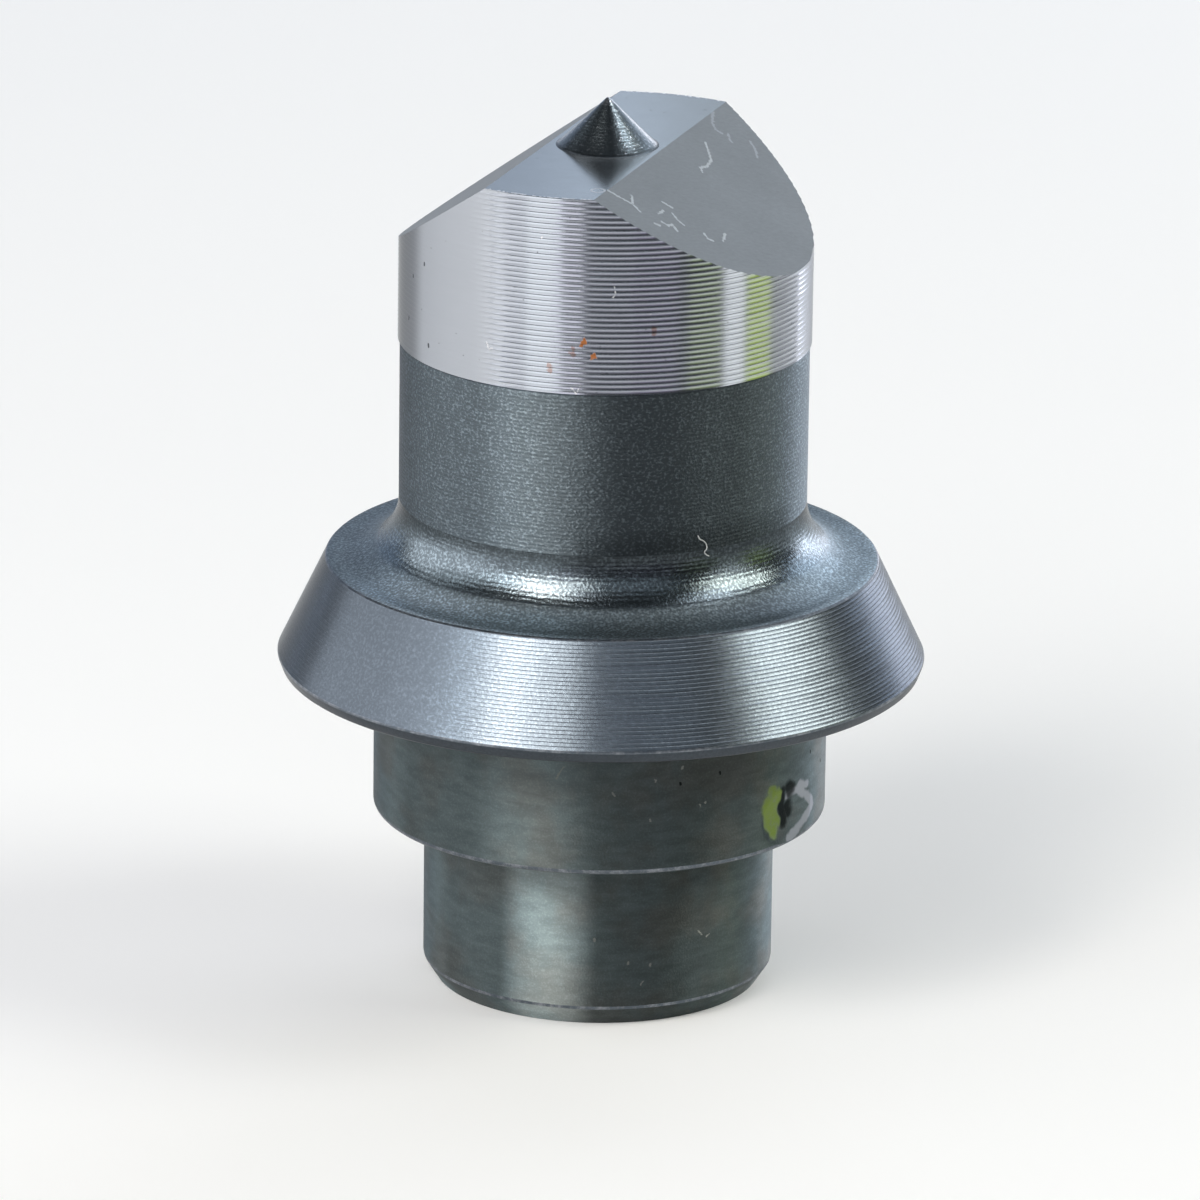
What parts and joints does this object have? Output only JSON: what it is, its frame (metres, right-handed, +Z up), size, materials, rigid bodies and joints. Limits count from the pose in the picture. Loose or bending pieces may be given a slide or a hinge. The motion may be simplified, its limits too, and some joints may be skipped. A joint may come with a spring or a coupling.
{
  "type": "piercing punch",
  "caption": "Turned steel piercing punch with a roof-shaped cutting face, a centring pip, a relieved shank, a coned clamping flange, a locating collar and a spigot.",
  "frame": {"origin": "centre of the spigot's flat foot, which is what the punch stands on", "axes": "+Z up the turning axis to the cutting face; the flat strip across the face runs along Y and its slopes face -X and +X"},
  "size_m": [0.0316, 0.0316, 0.0443],
  "materials": {
    "tool_steel": "turned and ground, dark oxide below the cutting head"
  },
  "bodies": {
    "root": {"punch": "tool_steel"}
  },
  "joints": []
}
